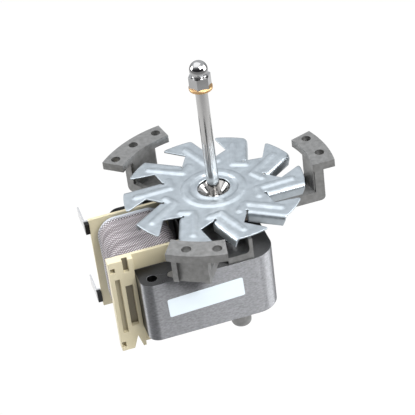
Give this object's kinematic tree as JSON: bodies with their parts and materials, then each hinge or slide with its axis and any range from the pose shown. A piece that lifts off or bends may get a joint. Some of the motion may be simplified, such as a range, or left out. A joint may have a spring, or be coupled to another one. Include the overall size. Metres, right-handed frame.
{
  "type": "shaded-pole oven fan motor",
  "caption": "Open-frame shaded-pole fan motor with a cast three-arm mount, a stamped cooling fan and a long shaft ending in an acorn nut.",
  "frame": {"origin": "on the shaft's axis, in the plane of the three feet's top faces", "axes": "+Z along the shaft to the nut, -X to the coil, -Y to the labelled face of the stack"},
  "size_m": [0.13, 0.1246, 0.1453],
  "materials": {
    "cast": "matte as-cast aluminium alloy, faint grain",
    "laminations": "grey silicon-steel laminations, ground edge",
    "copper": "bare copper",
    "rivet_steel": "zinc-plated steel",
    "bobbin_plastic": "ivory moulded nylon, slight sheen",
    "winding_wire": "enamelled copper wire",
    "woven_tape": "woven glass tape, fine diagonal check",
    "terminal_metal": "dull tinned steel",
    "bronze": "sintered bronze",
    "felt": "oiled felt",
    "spring_steel": "spring steel",
    "label_film": "blank white coated film",
    "bright_steel": "ground bright steel",
    "cage_metal": "die-cast",
    "spacer_plastic": "plain nylon",
    "galvanised_sheet": "satin zinc-coated sheet, blue-grey",
    "hub_steel": "bright spring steel",
    "bronze_washer": "polished bronze",
    "bright_nut": "bright nickel plate"
  },
  "bodies": {
    "stator": {"mounting_spider": "cast", "lower_bracket": "cast", "stator_stack": "laminations", "core_bar": "laminations", "shading_rings": "copper", "stack_rivets": "rivet_steel", "coil_bobbin": "bobbin_plastic", "coil_winding": "winding_wire", "coil_tape": "woven_tape", "terminal_upper": "terminal_metal", "terminal_lower": "terminal_metal", "upper_bearing": "bronze", "lower_bearing": "bronze", "upper_oil_felt": "felt", "lower_oil_felt": "felt", "upper_retainer": "spring_steel", "lower_retainer": "spring_steel", "through_screws": "rivet_steel", "label": "label_film"},
    "rotor": {"shaft": "bright_steel", "rotor_core": "laminations", "rotor_cage": "cage_metal", "rotor_spacers": "spacer_plastic", "upper_thrust_washer": "spacer_plastic", "lower_thrust_washer": "spacer_plastic", "cooling_fan": "galvanised_sheet", "fan_hub": "hub_steel", "shaft_washer": "bronze_washer", "acorn_nut": "bright_nut"}
  },
  "joints": [
    {"name": "rotor_spin", "type": "hinge", "parent": "stator", "child": "rotor", "pos_m": [0, 0, 0], "axis": [0, 0, 1], "continuous": true}
  ]
}
